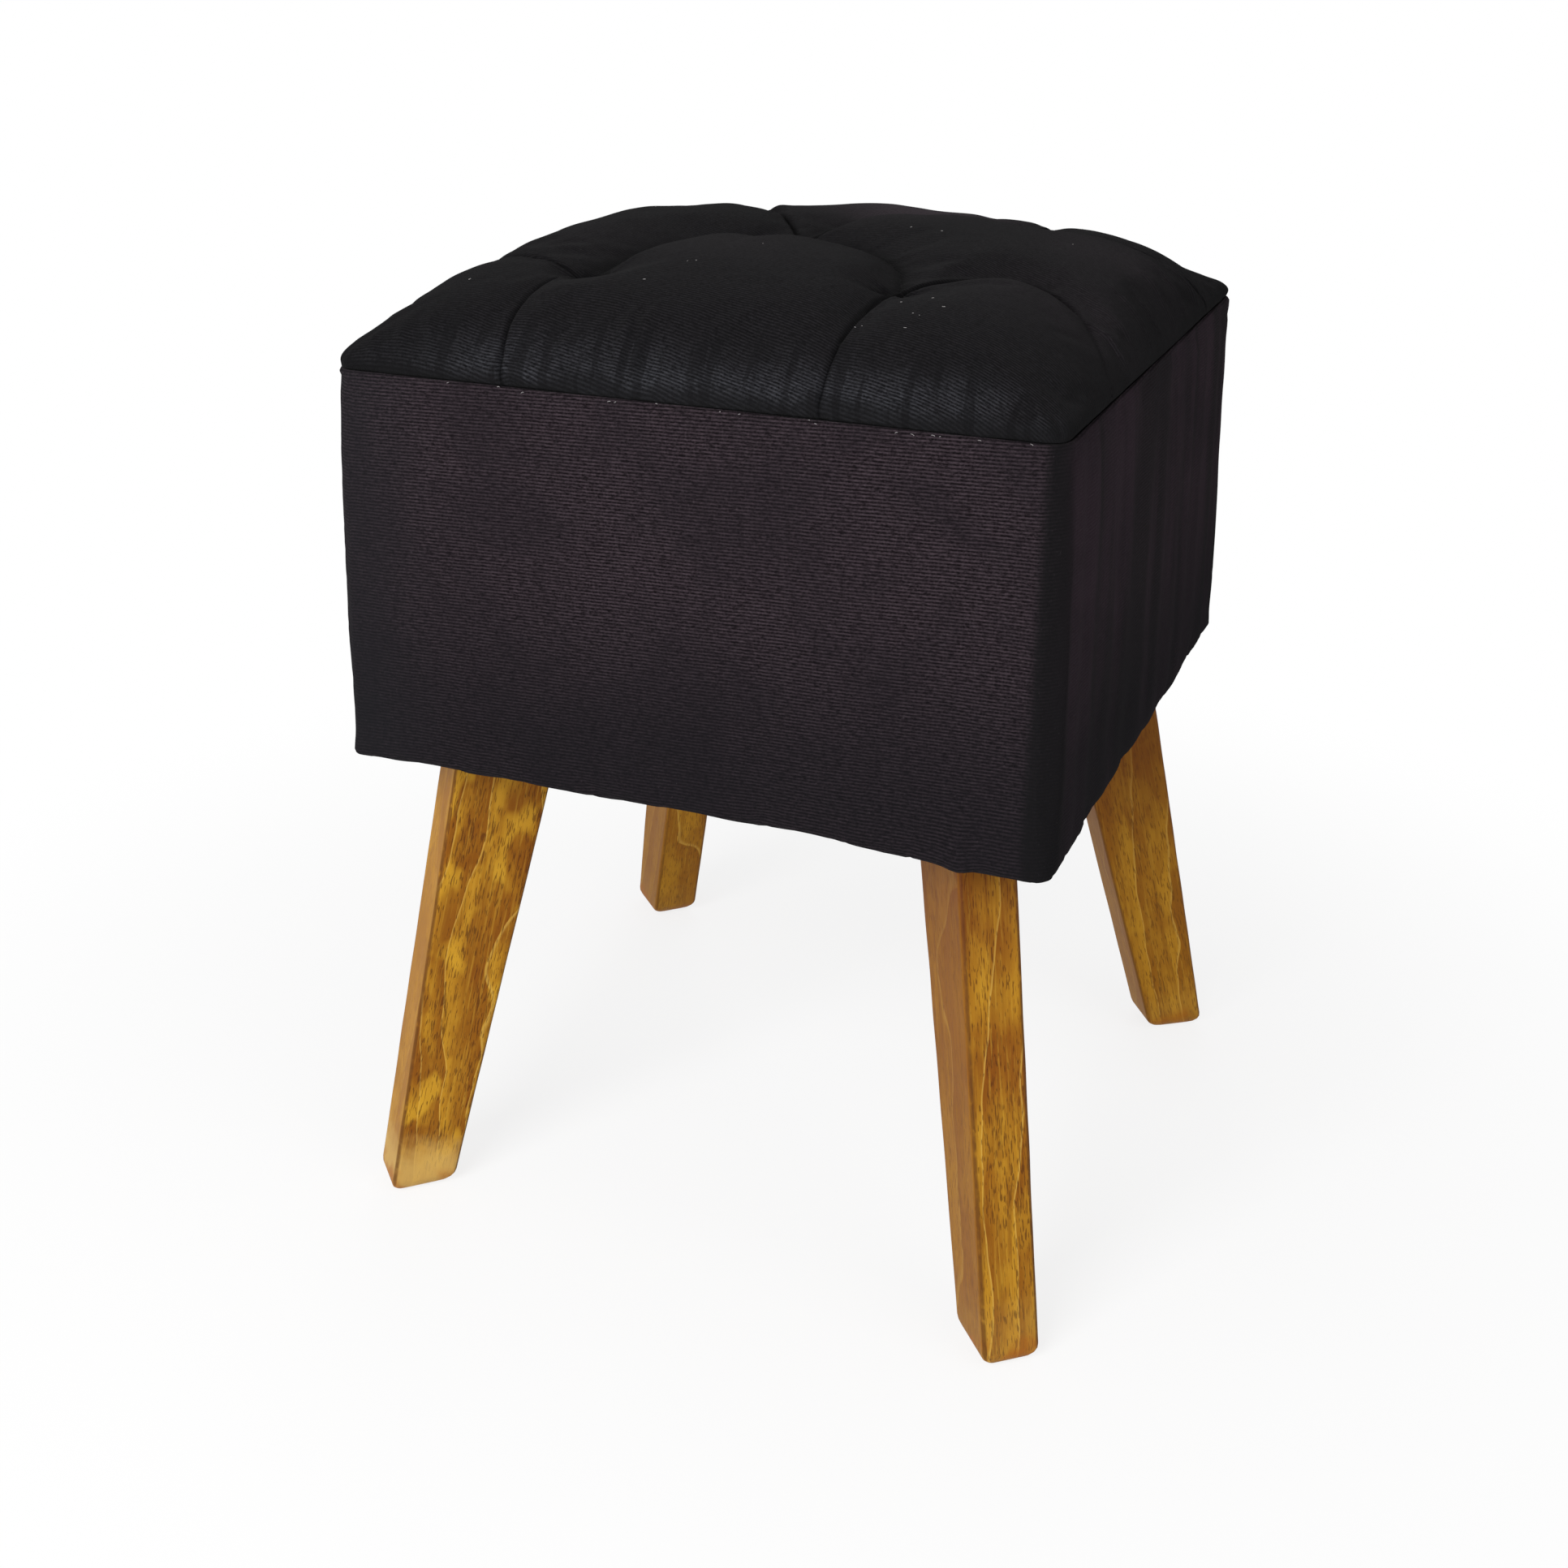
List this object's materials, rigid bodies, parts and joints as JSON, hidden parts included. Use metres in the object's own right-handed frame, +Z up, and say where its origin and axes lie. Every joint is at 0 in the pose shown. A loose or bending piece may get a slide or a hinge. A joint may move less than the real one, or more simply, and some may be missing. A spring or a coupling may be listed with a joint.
{
  "type": "tufted pouf",
  "caption": "Square upholstered pouf with a domed, tufted crown over straight padded sides, on tapered wooden legs that splay out along the diagonals.",
  "frame": {"origin": "on the floor under the middle of the box", "axes": "+Z up, -Y towards the front side, +X towards the right side; the four sides are alike but for the places of the tufts and the set of the legs"},
  "size_m": [0.4009, 0.4018, 0.501],
  "materials": {
    "stained_pine": "satin",
    "raw_pine": "matt",
    "board": "matt",
    "zinc_steel": "zinc plated",
    "dark_steel": "blackened",
    "disc_plastic": "matt",
    "twine": "waxed twine",
    "dust_cloth": "felted",
    "side_suede": "ribbed suede-like pile",
    "crown_suede": "suede-like pile",
    "pad_foam": "soft foam",
    "seat_foam": "firm foam"
  },
  "bodies": {
    "root": {"leg_rear_right": "stained_pine", "leg_rear_left": "stained_pine", "leg_front_left": "stained_pine", "leg_front_right": "stained_pine", "block_rear_right": "raw_pine", "block_rear_left": "raw_pine", "block_front_left": "raw_pine", "block_front_right": "raw_pine", "front_panel": "board", "right_panel": "board", "rear_panel": "board", "left_panel": "board", "base_board": "board", "seat_board": "board", "leg_screws": "zinc_steel", "leg_washers": "zinc_steel", "panel_screws": "dark_steel", "base_screws": "dark_steel", "seat_screws": "dark_steel", "tuft_discs": "disc_plastic", "tuft_twines": "twine", "dust_cloth": "dust_cloth", "side_cover": "side_suede", "top_cover": "crown_suede", "front_pad": "pad_foam", "right_pad": "pad_foam", "rear_pad": "pad_foam", "left_pad": "pad_foam", "seat_foam": "seat_foam"}
  },
  "joints": []
}
